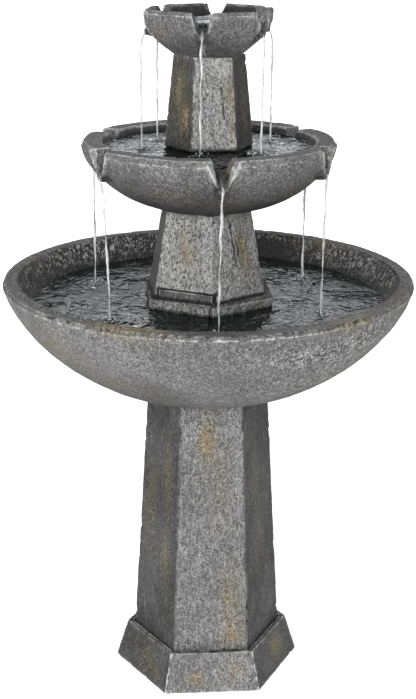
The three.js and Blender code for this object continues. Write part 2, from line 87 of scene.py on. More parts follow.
# How each stream leaves its spout: (spring outward in metres, drift aside in metres a second)
CUP_PATHS = [
    (0.002, -0.010), (0.003, -0.035), (0.008, 0.020),
    (0.002, 0.010), (0.003, 0.004), (0.007, 0.010),
]
BOWL_PATHS = [
    (0.003, -0.030), (-0.001, -0.050), (0.001, 0.010),
    (0.002, -0.010), (0.007, 0.020), (-0.002, 0.120),
]

# Foam that floats beside the landings in the basin: (x, y, how many bubbles)
FOAM = [
    (-0.205, -0.060, 10), (-0.190, -0.105, 12), (0.115, 0.120, 7),
    (0.150, 0.105, 6), (0.170, 0.040, 7),
]


def along(bearing, distance, z=0.0):
    angle = math.radians(bearing)
    return Vector((distance * math.sin(angle), -distance * math.cos(angle), z))


# Camera, lights and floor

SENSOR, FOCAL_LENGTH = 36, 71.794  # millimetres, the sensor's along the picture's longer side
CAMERA = {"distance": 2.0609, "bearing": -4.3, "height": 1.2151, "pitch": 18.35, "roll": 0.3}

# Each lamp: (place, target, width, height, power in watts)
LAMPS = {
    "key": ((-0.70, -3.4, 1.50), (0, 0, 0.65), 2.0, 2.3, 100),
    "top": ((-0.3, -0.9, 3.2), (0, 0, 0.6), 1.6, 1.6, 12),
}
ROOM_SEEN = 1.35  # strength of the white room to the camera and in reflections
ROOM_LIGHT = 0.16  # and as a light on the stone
FLOOR_SIZE, FLOOR_SQUARES = 1.6, 24


def make_camera():
    data = bpy.data.cameras.new("camera")
    data.sensor_width = SENSOR
    data.lens = FOCAL_LENGTH
    camera = bpy.data.objects.new("camera", data)
    bpy.context.collection.objects.link(camera)
    turn = Matrix.Rotation(math.radians(CAMERA["bearing"]), 4, "Z")
    tilt = Matrix.Rotation(math.radians(90 - CAMERA["pitch"]), 4, "X")
    roll = Matrix.Rotation(math.radians(CAMERA["roll"]), 4, "Z")
    place = along(CAMERA["bearing"], CAMERA["distance"], CAMERA["height"])
    camera.matrix_world = Matrix.Translation(place) @ turn @ tilt @ roll
    bpy.context.scene.camera = camera


def area_light(name, place, target, width, height, power):
    data = bpy.data.lights.new(name, "AREA")
    data.shape = "RECTANGLE"
    data.size, data.size_y = width, height
    data.energy = power
    light = bpy.data.objects.new(name, data)
    bpy.context.collection.objects.link(light)
    light.location = place
    light.rotation_euler = (Vector(target) - Vector(place)).to_track_quat("-Z", "Y").to_euler()


def make_world():
    world = bpy.data.worlds.new("studio")
    world.use_nodes = True
    tree = world.node_tree
    background = tree.nodes["Background"]
    background.inputs["Color"].default_value = (1, 1, 1, 1)
    rays = tree.nodes.new("ShaderNodeLightPath")
    strength = tree.nodes.new("ShaderNodeMapRange")
    strength.inputs["To Min"].default_value = ROOM_SEEN
    strength.inputs["To Max"].default_value = ROOM_LIGHT
    tree.links.new(rays.outputs["Is Diffuse Ray"], strength.inputs["Value"])
    tree.links.new(strength.outputs["Result"], background.inputs["Strength"])
    bpy.context.scene.world = world
    bpy.context.scene.view_settings.view_transform = "Standard"
    bpy.context.scene.view_settings.look = "Medium High Contrast"


# Materials


class Graph:
    """The nodes of one material, added a call at a time. Each method returns an output socket."""

    def __init__(self, name):
        self.material = bpy.data.materials.new(name)
        self.material.use_nodes = True
        self.tree = self.material.node_tree
        self.tree.nodes.clear()
        self.end = self.tree.nodes.new("ShaderNodeOutputMaterial")
        self.place = self.node("ShaderNodeTexCoord").outputs["Object"]

    def node(self, kind, inputs=None, **settings):
        made = self.tree.nodes.new(kind)
        for key, value in settings.items():
            setattr(made, key, value)
        for key, value in (inputs or {}).items():
            if isinstance(value, bpy.types.NodeSocket):
                self.tree.links.new(value, made.inputs[key])
            else:
                made.inputs[key].default_value = value
        return made

    def stretched(self, x, y, z, turn=(0, 0, 0)):
        inputs = {"Vector": self.place, "Scale": (x, y, z), "Rotation": turn}
        return self.node("ShaderNodeMapping", inputs).outputs["Vector"]

    def noise(self, size, detail=2.0, rough=0.5, place=None, twist=0.0):
        """Noise from 0 to 1 whose features are about size metres across"""
        inputs = {
            "Vector": place or self.place, "Scale": 1 / size, "Detail": detail,
            "Roughness": rough, "Distortion": twist,
        }
        return self.node("ShaderNodeTexNoise", inputs).outputs["Fac"]

    def cells(self, size, feature="F1", place=None):
        inputs = {"Vector": place or self.place, "Scale": 1 / size}
        return self.node("ShaderNodeTexVoronoi", inputs, feature=feature).outputs["Distance"]

    def spread(self, value, low, high, to_low=0.0, to_high=1.0):
        inputs = {"Value": value, "From Min": low, "From Max": high, "To Min": to_low, "To Max": to_high}
        return self.node("ShaderNodeMapRange", inputs, interpolation_type="SMOOTHSTEP").outputs["Result"]

    def math(self, operation, first, second=0.0, clamp=False):
        made = self.node("ShaderNodeMath", {0: first, 1: second}, operation=operation, use_clamp=clamp)
        return made.outputs[0]

    def times(self, first, second):
        return self.math("MULTIPLY", first, second)

    def plus(self, first, second, clamp=True):
        return self.math("ADD", first, second, clamp)

    def mix(self, factor, first, second, blend="MIX"):
        """Colour first where factor is 0 and second where it is 1"""
        made = self.node("ShaderNodeMix", {0: factor}, data_type="RGBA", blend_type=blend)
        for socket, colour in ((made.inputs[6], first), (made.inputs[7], second)):
            if isinstance(colour, bpy.types.NodeSocket):
                self.tree.links.new(colour, socket)
            else:
                socket.default_value = (*colour, 1)
        return made.outputs[2]

    def painted(self, name):
        """A number that a piece's mesh holds at each vertex"""
        return self.node("ShaderNodeAttribute", attribute_name=name).outputs["Fac"]

    def bump(self, height, depth, normal=None):
        inputs = {"Height": height, "Distance": depth}
        if normal:
            inputs["Normal"] = normal
        return self.node("ShaderNodeBump", inputs).outputs["Normal"]

    def surface(self, **inputs):
        shader = self.node("ShaderNodeBsdfPrincipled", {k.replace("_", " "): v for k, v in inputs.items()})
        self.tree.links.new(shader.outputs["BSDF"], self.end.inputs["Surface"])
        return self.material


DARK_STONE = (0.030, 0.030, 0.029)
SHADED_STONE = (0.036, 0.036, 0.034)
# The lit copy of the stone's body, laid on by the brush share as painted light
BRUSHED_LIT_STONE = (0.308, 0.309, 0.317)
COOL_STONE = (0.046, 0.047, 0.053)
PALE_STONE = (0.50, 0.50, 0.495)
LIMED_STONE = (0.84, 0.84, 0.83)
# Rubbed pale wear on corners, partly a painted highlight
RUBBED_HIGHLIGHT_STONE = (0.80, 0.80, 0.79)
WHITE_CRUST = (0.86, 0.86, 0.85)
OLIVE = (0.052, 0.048, 0.026)
OCHRE = (0.520, 0.430, 0.240)
CREAM = (0.78, 0.71, 0.53)
# Lit and shaded copies of the thin ochre, the second half as bright
LIT_OCHRE = (0.330, 0.262, 0.135)
SHADED_OCHRE = (0.165, 0.135, 0.070)
RUST = (0.230, 0.125, 0.060)
# Painted shade in hollows, joints and seams, and dark dirt in pits and cracks
BLACK_SHADE_AND_GRIME = (0.010, 0.010, 0.009)
WET_AND_SHADOW_TINT = (0.17, 0.175, 0.175)  # the share of its colour that wet stone keeps; the painted shadow on the bowls' back inner walls uses it too


def stone_material():
    """Cast stone: a dark body dry-brushed pale on its high grain, stained, chipped and wetted in places,
    with painted light on its forward faces, column fronts and corners, painted shade in its hollows and
    under and inside things, and painted shadow on the bowls' back inner walls
    """
    g = Graph("cast_stone")
    edge, hollow_shade = g.painted("edge"), g.painted("hollow_shade")
    wet_and_shadow, stain, brush_and_light = g.painted("wet_and_shadow"), g.painted("stain"), g.painted("brush_and_light")
    rust, crack = g.painted("rust"), g.painted("crack")
    pale, rough = g.painted("pale"), g.painted("rough")

    # Noises, from the largest to the finest
    drifts = g.noise(0.12, 3.0, 0.55)
    patches = g.noise(0.028, 4.0, 0.62)
    runs = g.noise(0.016, 4.0, 0.6, g.stretched(1, 1, 0.22))
    lumps = g.noise(0.0062, 3.0, 0.6)
    grain = g.noise(0.0021, 3.0, 0.7)
    scores = g.noise(0.0022, 3.0, 0.6, g.stretched(1, 1, 0.07))
    flakes = g.noise(0.0052, 2.0, 0.55, g.stretched(1, 1, 0.6), 1.4)
    fleck = g.noise(0.0025, 3.0, 0.68, g.stretched(1, 1, 0.55), 0.7)
    sweeps = g.noise(0.0042, 3.0, 0.6, g.stretched(1, 1, 0.25, (0.5, 0.8, 0.3)), 0.5)
    pits = g.spread(g.cells(0.024), 0.040, 0.075, 1.0, 0.0)
    pits = g.times(pits, g.spread(patches, 0.52, 0.60))
    relief = g.plus(g.times(grain, 0.80), g.times(lumps, 0.20))

    # The dark body, the brushed coat over it and the limed and roughcast places. The coat is also painted
    # light: heaviest on faces that look forward or outward, thin under and inside things, where shade falls.
    body = g.mix(g.spread(drifts, 0.35, 0.65), SHADED_STONE, COOL_STONE)
    lit_coat = g.plus(g.times(brush_and_light, 0.75), g.spread(drifts, 0.36, 0.64, -0.14, 0.14))
    body = g.mix(lit_coat, body, BRUSHED_LIT_STONE)
    # The pale share is also painted light on the columns' fronts and a painted highlight on the spout lips
    body = g.mix(g.times(pale, g.spread(patches, 0.30, 0.60, 0.60, 0.95)), body, LIMED_STONE)
    body = g.mix(g.times(rough, g.spread(flakes, 0.54, 0.46)), body, DARK_STONE)
    body = g.mix(g.times(rough, g.spread(flakes, 0.53, 0.59, 0.0, 0.90)), body, LIMED_STONE)

    # The grain: dark in its lows, pale on its highs, with flecks, sweeps of the brush and fine scores. The
    # pale highs and sweeps follow the brush share, so they carry its painted light too.
    body = g.mix(g.spread(relief, 0.50, 0.39, 0.0, 0.80), body, DARK_STONE)
    lit_strokes = g.plus(g.times(brush_and_light, 0.55), g.spread(patches, 0.40, 0.62, 0.02, 0.24))
    body = g.mix(g.times(g.spread(relief, 0.51, 0.60), lit_strokes), body, PALE_STONE)
    load = g.plus(g.times(pale, 0.90), g.times(brush_and_light, g.spread(drifts, 0.43, 0.56, 0.05, 0.38)))
    dark_flecks = g.times(g.spread(fleck, 0.49, 0.41), g.plus(g.times(load, 0.46), 0.26))
    body = g.mix(dark_flecks, body, DARK_STONE)
    white_flecks = g.times(g.spread(fleck, 0.52, 0.60), g.plus(g.times(load, 0.66), 0.075))
    body = g.mix(white_flecks, body, WHITE_CRUST)
    body = g.mix(g.times(brush_and_light, g.spread(sweeps, 0.47, 0.38, 0.0, 0.17)), body, DARK_STONE)
    body = g.mix(g.times(brush_and_light, g.spread(sweeps, 0.54, 0.64, 0.0, 0.17)), body, LIMED_STONE)
    scored = g.times(g.spread(scores, 0.60, 0.68), g.spread(brush_and_light, 0.0, 1.0, 0.42, 0.25))
    body = g.mix(scored, body, PALE_STONE)

    # Corners: a broad pale band and a ragged rubbed white line along them, each partly dry-brush wear and
    # partly a painted highlight
    unevenness = g.times(g.math("SUBTRACT", grain, 0.5), 0.34)
    ragged = g.plus(unevenness, g.times(g.math("SUBTRACT", patches, 0.5), 0.24), False)
    rubbed_highlight = g.spread(g.plus(edge, ragged, False), 0.76, 0.88, 0.0, 0.90)
    edge_highlight = g.times(g.spread(edge, 0.25, 0.90), g.spread(patches, 0.38, 0.60, 0.04, 0.24))
    body = g.mix(edge_highlight, body, PALE_STONE)
    body = g.mix(rubbed_highlight, body, RUBBED_HIGHLIGHT_STONE)

    # Age, ochre and rust
    age = g.times(g.spread(runs, 0.46, 0.70), g.spread(drifts, 0.40, 0.60, 0.10, 0.50))
    body = g.mix(age, body, g.mix(0.60, OLIVE, body))
    ochre = g.times(stain, g.spread(g.plus(runs, g.times(grain, 0.5)), 0.52, 0.88))
    # Painted light: the thin ochre is the lit copy on brushed faces and the shaded copy elsewhere
    ochre_by_light = g.mix(g.spread(brush_and_light, 0.2, 0.9), SHADED_OCHRE, LIT_OCHRE)
    tint = g.mix(g.spread(stain, 0.55, 0.95, 0.10, 1.0), ochre_by_light, OCHRE)
    body = g.mix(g.times(ochre, 0.90), body, g.mix(g.spread(grain, 0.42, 0.60), OLIVE, tint))
    cream = g.times(g.spread(stain, 0.70, 1.0, 0.20, 1.0), g.spread(stain, 0.0, 0.5))
    body = g.mix(g.times(cream, g.spread(fleck, 0.51, 0.58, 0.0, 0.80)), body, CREAM)
    rusty = g.times(rust, g.spread(g.plus(patches, g.times(grain, 0.6)), 0.62, 0.95))
    body = g.mix(g.times(rusty, 0.75), body, g.mix(g.spread(grain, 0.44, 0.60), RUST, OCHRE))

    # Painted shade in the hollows, joints, door seams and on the ledge, dirt in the pits and cracks, then
    # the wet places, with the painted shadow on the bowls' back inner walls
    # Painted shade: concave corners and joints go nearly black
    shade = g.spread(g.plus(hollow_shade, g.times(ragged, 0.6), False), 0.30, 0.80, 0.0, 0.90)
    body = g.mix(shade, body, BLACK_SHADE_AND_GRIME)
    body = g.mix(g.times(pits, 0.8), body, BLACK_SHADE_AND_GRIME)
    split = g.spread(g.plus(crack, g.times(ragged, 0.5), False), 0.84, 0.95)
    body = g.mix(g.times(split, 0.75), body, BLACK_SHADE_AND_GRIME)
    body = g.mix(g.times(wet_and_shadow, 0.85), body, g.mix(1.0, body, WET_AND_SHADOW_TINT, "MULTIPLY"))

    dry = g.spread(grain, 0.35, 0.65, 0.62, 0.88)
    film = g.times(wet_and_shadow, g.spread(lumps, 0.30, 0.70, 1.0, 0.82))
    gloss = g.math("SUBTRACT", dry, g.times(film, 0.50), True)

    normal = g.bump(g.noise(0.024, 3.0, 0.55, g.stretched(1, 1, 0.6)), 0.0022)
    normal = g.bump(lumps, 0.0040, normal)
    normal = g.bump(g.times(flakes, rough), 0.0040, normal)
    normal = g.bump(grain, 0.0030, normal)
    normal = g.bump(fleck, 0.0022, normal)
    normal = g.bump(scores, 0.0010, normal)
    normal = g.bump(g.plus(pits, split), -0.0018, normal)
    return g.surface(Base_Color=body, Roughness=gloss, Normal=normal)


def pool_material():
    """Clear water over dark stone: what is under it shows through, and the room shows in its ripples"""
    g = Graph("pool_water")
    waves = g.noise(0.046, 2.0, 0.5, None, 0.5)
    ripple = g.noise(0.015, 2.0, 0.5, None, 0.8)
    normal = g.bump(waves, 0.0095)
    normal = g.bump(ripple, 0.0026, normal)
    through = g.node("ShaderNodeBsdfTransparent", {"Color": (0.22, 0.235, 0.225, 1)})
    inputs = {"Color": (0.88, 0.89, 0.91, 1), "Roughness": 0.04, "Normal": normal}
    shine = g.node("ShaderNodeBsdfGlossy", inputs)
    share = g.node("ShaderNodeFresnel", {"IOR": 1.45, "Normal": normal}).outputs["Fac"]
    mixed = g.node("ShaderNodeMixShader", {0: share, 1: through.outputs[0], 2: shine.outputs[0]})
    g.tree.links.new(mixed.outputs[0], g.end.inputs["Surface"])
    return g.material


def stream_material():
    """Falling water, clear with white streaks of air in it"""
    g = Graph("falling_water")
    streaks = g.noise(0.0035, 3.0, 0.6, g.stretched(1, 1, 0.16), 0.4)
    normal = g.bump(streaks, 0.0012)
    clear = g.node("ShaderNodeBsdfTransparent", {"Color": (0.70, 0.72, 0.72, 1)})
    inputs = {
        "Base Color": (0.80, 0.81, 0.82, 1), "Roughness": 0.12, "IOR": 1.33, "Normal": normal,
        "Specular IOR Level": 0.8,
    }
    white = g.node("ShaderNodeBsdfPrincipled", inputs)
    rim = g.node("ShaderNodeLayerWeight", {"Blend": 0.5, "Normal": normal}).outputs["Facing"]
    share = g.times(g.spread(streaks, 0.38, 0.56, 0.25, 0.95), g.spread(rim, 0.45, 0.95, 1.0, 0.25))
    share = g.times(share, g.painted("froth"))
    mixed = g.node("ShaderNodeMixShader", {0: share, 1: clear.outputs[0], 2: white.outputs[0]})
    g.tree.links.new(mixed.outputs[0], g.end.inputs["Surface"])
    return g.material


def plastic_material(name, colour, rough):
    """Injection-moulded plastic with a fine spark-eroded texture and light scuffs"""
    g = Graph(name)
    texture = g.noise(0.0006, 2.0, 0.6)
    scuffs = g.noise(0.012, 4.0, 0.6, g.stretched(1, 1, 0.3))
    worn = tuple(min(1.0, part * 1.5 + 0.02) for part in colour)
    base = g.mix(g.spread(scuffs, 0.52, 0.72, 0.0, 0.6), colour, worn)
    gloss = g.spread(scuffs, 0.35, 0.7, rough - 0.08, rough + 0.12)
    return g.surface(Base_Color=base, Roughness=gloss, Normal=g.bump(texture, 0.00012))


def rubber_material():
    g = Graph("rubber")
    bloom = g.noise(0.009, 3.0, 0.6)
    base = g.mix(g.spread(bloom, 0.45, 0.75), (0.012, 0.012, 0.012), (0.05, 0.05, 0.048))
    rough = g.spread(bloom, 0.3, 0.7, 0.62, 0.85)
    return g.surface(Base_Color=base, Roughness=rough, Normal=g.bump(g.noise(0.0008, 2.0), 0.00015))


def foam_material():
    """Open-cell filter foam, slightly silted"""
    g = Graph("filter_foam")
    cells = g.cells(0.0016, "SMOOTH_F1")
    silt = g.noise(0.014, 3.0, 0.6)
    base = g.mix(g.spread(cells, 0.25, 0.6), (0.006, 0.006, 0.007), (0.055, 0.058, 0.062))
    base = g.mix(g.spread(silt, 0.5, 0.75, 0.0, 0.5), base, (0.09, 0.075, 0.045))
    return g.surface(Base_Color=base, Roughness=1.0, Normal=g.bump(cells, 0.0014))


def vinyl_material():
    """Clear vinyl tube, a little yellowed, with a trace of algae inside"""
    g = Graph("clear_vinyl")
    haze = g.noise(0.02, 3.0, 0.6, g.stretched(1, 1, 0.4))
    base = g.mix(g.spread(haze, 0.45, 0.72), (0.78, 0.83, 0.80), (0.50, 0.56, 0.40))
    rough = g.spread(haze, 0.3, 0.7, 0.10, 0.28)
    normal = g.bump(g.noise(0.004, 2.0), 0.0002)
    return g.surface(
        Base_Color=base, Roughness=rough, Normal=normal, IOR=1.45, Transmission_Weight=0.75,
    )


def magnet_material():
    """Sintered ferrite with fine grinding lines round it"""
    g = Graph("magnet")
    lines = g.noise(0.0012, 2.0, 0.6, g.stretched(0.12, 0.12, 1))
    base = g.mix(g.spread(lines, 0.35, 0.65), (0.035, 0.036, 0.038), (0.11, 0.11, 0.115))
    return g.surface(Base_Color=base, Roughness=0.42, Metallic=0.6, Normal=g.bump(lines, 0.0001))


def ceramic_material():
    g = Graph("ceramic")
    tint = g.noise(0.003, 2.0)
    base = g.mix(g.spread(tint, 0.4, 0.6), (0.74, 0.72, 0.66), (0.83, 0.81, 0.76))
    rough = g.spread(tint, 0.3, 0.7, 0.12, 0.22)
    return g.surface(Base_Color=base, Roughness=rough, Normal=g.bump(tint, 0.00003))


def floor_material():
    g = Graph("floor")
    shade = g.noise(0.5, 3.0)
    base = g.mix(g.spread(shade, 0.3, 0.7), (0.86, 0.86, 0.86), (0.88, 0.88, 0.88))
    return g.surface(
        Base_Color=base, Roughness=0.9, Emission_Color=(1, 1, 1, 1), Emission_Strength=0.80,
    )


# Mesh tools

WELD = 1e-5  # metres: vertices nearer than this are one


def lattice(points, size, seed):
    """Smooth noise from 0 to 1 at each point, with features about size metres across"""
    grid = points / size
    cell = np.floor(grid).astype(np.int64)
    part = grid - cell
    part = part * part * (3 - 2 * part)
    total = np.zeros(len(points))
    for corner in np.ndindex(2, 2, 2):
        at = cell + np.array(corner)
        # A hash of the corner of the cell, which gives it a value of its own
        mixed = at[:, 0] * 73856093 ^ at[:, 1] * 19349663 ^ at[:, 2] * 83492791 ^ (seed * 7919 + 17)
        mixed = ((mixed ^ (mixed >> 13)) * 1274126177) & 0xFFFFFFFF
        value = ((mixed ^ (mixed >> 16)) & 0xFFFF) / 65535
        total += value * np.prod(np.where(corner, part, 1 - part), axis=1)
    return total


def fractal(points, size, octaves, seed):
    """Several sizes of lattice noise together, from 0 to 1"""
    weights = [0.5**k for k in range(octaves)]
    layers = [w * lattice(points, size * w, seed + 11 * k) for k, w in enumerate(weights)]
    return sum(layers) / sum(weights)


def ramp(values, low, high):
    """0 below low, 1 above high and smooth between"""
    t = np.clip((values - low) / (high - low), 0, 1)
    return t * t * (3 - 2 * t)


def positions(mesh):
    flat = np.empty(len(mesh.vertices) * 3)
    mesh.vertices.foreach_get("co", flat)
    return flat.reshape(-1, 3)


def normals(mesh):
    flat = np.empty(len(mesh.vertices) * 3)
    mesh.vertex_normals.foreach_get("vector", flat)
    return flat.reshape(-1, 3)


def set_positions(mesh, points):
    mesh.vertices.foreach_set("co", points.astype(np.float32).ravel())
    mesh.update()


def paint(mesh, name, values):
    layer = mesh.attributes.new(name, "FLOAT", "POINT")
    layer.data.foreach_set("value", np.clip(values, 0, 1).astype(np.float32))


class Averager:
    """Moves each vertex value towards the mean of its neighbours'"""

    def __init__(self, mesh):
        ends = np.empty(len(mesh.edges) * 2, np.int64)
        mesh.edges.foreach_get("vertices", ends)
        one, other = ends.reshape(-1, 2).T
        self.to = np.concatenate([one, other])
        self.source = np.concatenate([other, one])
        self.count = len(mesh.vertices)
        self.degree = np.maximum(np.bincount(self.to, minlength=self.count), 1)

    def mean(self, values):
        columns = [
            np.bincount(self.to, column[self.source], self.count) / self.degree
            for column in np.atleast_2d(values.T)
        ]
        return np.stack(columns, axis=-1) if values.ndim > 1 else columns[0]

    def soften(self, values, times, share=0.5):
        for _ in range(times):
            values = values + share * (self.mean(values) - values)
        return values


def new_object(name, mesh, material=None, body="root"):
    made = bpy.data.objects.new(name, mesh)
    bpy.context.collection.objects.link(made)
    mesh.shade_smooth()
    if material:
        mesh.materials.clear()
        mesh.materials.append(material)
    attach(made, body)
    return made


def remeshed(node, voxel):
    """A copy of a CAD node's mesh in even quads, its sharp corners a little rounded"""
    mesh = nodes[node].data.copy()
    shape = bmesh.new()
    shape.from_mesh(mesh)
    bmesh.ops.remove_doubles(shape, verts=shape.verts, dist=WELD)
    shape.to_mesh(mesh)
    shape.free()
    holder = bpy.data.objects.new("holder", mesh)
    bpy.context.collection.objects.link(holder)
    remesh = holder.modifiers.new("remesh", "REMESH")
    remesh.mode = "VOXEL"
    remesh.voxel_size = voxel
    wrap = holder.modifiers.new("wrap", "SHRINKWRAP")
    wrap.target = nodes[node]
    graph = bpy.context.evaluated_depsgraph_get()
    made = bpy.data.meshes.new_from_object(holder.evaluated_get(graph))
    bpy.data.objects.remove(holder)
    return made


def rounded(points, segments, turn):
    """Pushes the flat facets of a turned shape out to the true circle"""
    half = math.pi / segments
    angle = np.arctan2(points[:, 0], -points[:, 1]) - math.radians(turn)
    off_middle = np.mod(angle, 2 * half) - half
    grow = np.cos(off_middle) / math.cos(half)
    return points * np.stack([grow, grow, np.ones_like(grow)], axis=1)


# Stone castings

# Stains, listed one by one: (x, y, z, width across, height, strength)
OCHRE_STAINS = {
    "base_column": [
        (-0.009, -0.084, 0.412, 0.015, 0.042, 0.85), (0.016, -0.088, 0.335, 0.022, 0.060, 0.5),
        (0.028, -0.098, 0.150, 0.017, 0.045, 0.8), (0.033, -0.101, 0.098, 0.018, 0.030, 0.7),
        (-0.066, -0.061, 0.339, 0.014, 0.060, 0.75), (-0.071, -0.065, 0.212, 0.013, 0.045, 0.8),
        (-0.093, -0.021, 0.275, 0.022, 0.070, 0.55), (0.071, -0.052, 0.345, 0.015, 0.060, 0.6),
        (0.080, -0.048, 0.230, 0.018, 0.060, 0.5), (0.020, 0.090, 0.300, 0.020, 0.070, 0.8),
        (-0.075, 0.055, 0.180, 0.018, 0.060, 0.7), (0.085, 0.045, 0.380, 0.016, 0.055, 0.7),
    ],
    "base_plinth": [
        (-0.103, -0.063, 0.032, 0.022, 0.022, 0.7), (0.107, -0.057, 0.033, 0.022, 0.020, 0.7),
        (0.030, 0.123, 0.030, 0.022, 0.018, 0.7),
    ],
    "middle_column": [
        (-0.036, -0.063, 0.700, 0.014, 0.032, 0.7), (0.047, -0.052, 0.715, 0.012, 0.025, 0.95),
        (0.051, -0.053, 0.690, 0.011, 0.022, 0.9), (0.075, -0.050, 0.610, 0.020, 0.012, 0.7),
        (0.010, 0.078, 0.690, 0.016, 0.035, 0.8), (-0.080, 0.010, 0.680, 0.014, 0.030, 0.7),
    ],
    "upper_column": [
        (-0.044, -0.022, 0.935, 0.020, 0.055, 0.9), (-0.036, -0.040, 0.895, 0.014, 0.035, 1.0),
        (0.026, -0.048, 0.935, 0.008, 0.030, 0.75), (0.031, -0.052, 0.885, 0.009, 0.025, 0.6),
        (0.050, -0.020, 0.920, 0.012, 0.060, 0.55), (0.010, 0.050, 0.910, 0.014, 0.045, 0.9),
    ],
    "lower_basin": [
        (-0.147, -0.246, 0.652, 0.030, 0.012, 1.5), (-0.122, -0.259, 0.652, 0.030, 0.012, 1.5),
        (-0.092, -0.272, 0.652, 0.026, 0.012, 1.2), (0.172, -0.236, 0.652, 0.036, 0.012, 1.5),
        (-0.277, 0.115, 0.652, 0.035, 0.014, 0.6), (0.262, -0.120, 0.652, 0.050, 0.014, 0.6),
        (-0.227, -0.171, 0.592, 0.050, 0.035, 0.55), (-0.150, -0.190, 0.545, 0.060, 0.025, 0.45),
        (0.210, 0.215, 0.650, 0.050, 0.015, 0.8), (0.200, -0.120, 0.535, 0.070, 0.030, 0.45),
        (0.060, 0.270, 0.580, 0.060, 0.040, 0.6),
    ],
    "middle_bowl": [
        (0.014, -0.168, 0.845, 0.010, 0.018, 1.0), (-0.066, -0.142, 0.803, 0.035, 0.018, 0.55),
        (0.013, -0.147, 0.794, 0.030, 0.015, 0.45), (0.120, -0.095, 0.800, 0.040, 0.020, 0.4),
        (-0.150, 0.060, 0.822, 0.030, 0.025, 0.5), (0.100, 0.130, 0.815, 0.035, 0.020, 0.55),
    ],
    "top_bowl": [
        (-0.070, -0.045, 1.016, 0.016, 0.015, 0.5), (0.050, 0.060, 1.010, 0.018, 0.015, 0.6),
    ],
    "pump_access_door": [],
}
RUST_STAINS = {
    "base_column": [
        (0.034, -0.101, 0.085, 0.016, 0.022, 0.7), (-0.005, -0.084, 0.412, 0.010, 0.026, 0.9),
    ],
    "base_plinth": [
        (-0.029, -0.125, 0.019, 0.015, 0.013, 1.0), (0.036, -0.121, 0.032, 0.019, 0.014, 1.0),
        (-0.094, -0.088, 0.015, 0.015, 0.012, 0.7), (0.112, -0.045, 0.035, 0.016, 0.014, 0.8),
        (-0.045, 0.122, 0.022, 0.016, 0.013, 0.8),
    ],
    "middle_column": [
        (-0.036, -0.063, 0.707, 0.012, 0.020, 0.9), (0.045, -0.052, 0.708, 0.008, 0.016, 0.5),
    ],
    "upper_column": [
        (-0.040, -0.032, 0.905, 0.010, 0.022, 0.7), (0.029, -0.050, 0.925, 0.007, 0.020, 0.5),
    ],
    "middle_bowl": [(0.014, -0.165, 0.838, 0.008, 0.014, 0.8)],
}
# Rough places on the basin's belly, listed as the stains are
ROUGH_PLACES = [
    (0.20, -0.17, 0.60, 0.10, 0.05, 0.9), (0.12, -0.22, 0.55, 0.10, 0.03, 0.7),
    (0.14, -0.268, 0.608, 0.080, 0.020, 1.0), (0.21, -0.225, 0.615, 0.070, 0.030, 1.0),
]
# Cracks, each a run of points on the surface
CRACKS = {
    "middle_column": [
        [(0.027, -0.058, 0.745), (0.030, -0.059, 0.725), (0.034, -0.061, 0.705), (0.038, -0.064, 0.680)],
        [(0.036, -0.055, 0.722), (0.041, -0.058, 0.698)],
        [(-0.020, 0.078, 0.740), (-0.026, 0.080, 0.700), (-0.022, 0.085, 0.670)],
    ],
    "upper_column": [
        [(0.0135, -0.048, 0.942), (0.0150, -0.049, 0.925), (0.0180, -0.051, 0.908), (0.0190, -0.051, 0.895)],
    ],
}
# Pale scrapes, each a run of points on the surface
SCRAPES = {
    "lower_basin": [
        [(0.046, -0.288, 0.601), (0.069, -0.288, 0.609), (0.096, -0.285, 0.618), (0.132, -0.274, 0.623)],
        [(0.110, -0.280, 0.612), (0.150, -0.262, 0.621), (0.180, -0.246, 0.626)],
    ],
}
# Small round holes left by bubbles in the cast: (x, y, z, radius)
BLOWHOLES = {
    "middle_column": [(0.0019, -0.0725, 0.750, 0.0026), (-0.0493, -0.0495, 0.7445, 0.0024)],
    "base_column": [(-0.031, -0.086, 0.395, 0.0022)],
}

HOUSING = ("middle_column", "pump_access_door")  # the pump's housing, which shares one band and ledge
SHARP = math.radians(24)  # a CAD edge that bends more than this is a corner, not part of a curve
EDGE_REACH, HOLLOW_REACH, SEAM_REACH = 0.009, 0.007, 0.0045
CRACK_REACH, SCRAPE_REACH = 0.0065, 0.0110
CRACK_DEPTH, CHIP_DEPTH = 0.0010, 0.0016
RIDGE_WIDTH = 0.005  # over which the brush share, and the painted light with it, changes at a column's ridge
PROFILE_BLUR = 0.014
SNAP = 0.95  # of a voxel: nearer to a corner than this, a vertex is put on it
MARGIN = 0.0002  # between the stone and the CAD model's box


def spots(points, places):
    """How strongly each point is inside one of the soft spots"""
    total = np.zeros(len(points))
    for x, y, z, width, height, strength in places:
        level = ((points[:, 0] - x) ** 2 + (points[:, 1] - y) ** 2) / width**2
        distance = level + (points[:, 2] - z) ** 2 / height**2
        total = np.maximum(total, strength * np.exp(-distance * 0.9))
    return total


def distance_to_run(points, run):
    best = np.full(len(points), np.inf)
    for start, end in zip(run, run[1:]):
        a, b = np.array(start), np.array(end)
        t = np.clip(((points - a) @ (b - a)) / ((b - a) @ (b - a)), 0, 1)
        best = np.minimum(best, np.linalg.norm(points - a - t[:, None] * (b - a), axis=1))
    return best


def near_spouts(points, bearings, reach, width):
    """1 on what is outside reach and within width of the line of a spout, as seen from above"""
    total = np.zeros(len(points))
    for bearing in bearings:
        out = np.array(along(bearing, 1.0)[:2])
        forward = points[:, :2] @ out
        aside = np.abs(points[:, 0] * out[1] - points[:, 1] * out[0])
        total = np.maximum(total, ramp(forward, reach - 0.004, reach) * ramp(aside, width, width * 0.5))
    return total


def shaded_wall(points):
    """The part of the basin's inner wall behind the middle column, at the back right, that is darkened as a
    painted shadow
    """
    x, y, z = points.T
    sides = ramp(x, 0.03, 0.07) * ramp(x, 0.19, 0.13) * ramp(y, 0.10, 0.14)
    return sides * ramp(z, BASIN_RIM - 0.006, BASIN_RIM - 0.013)


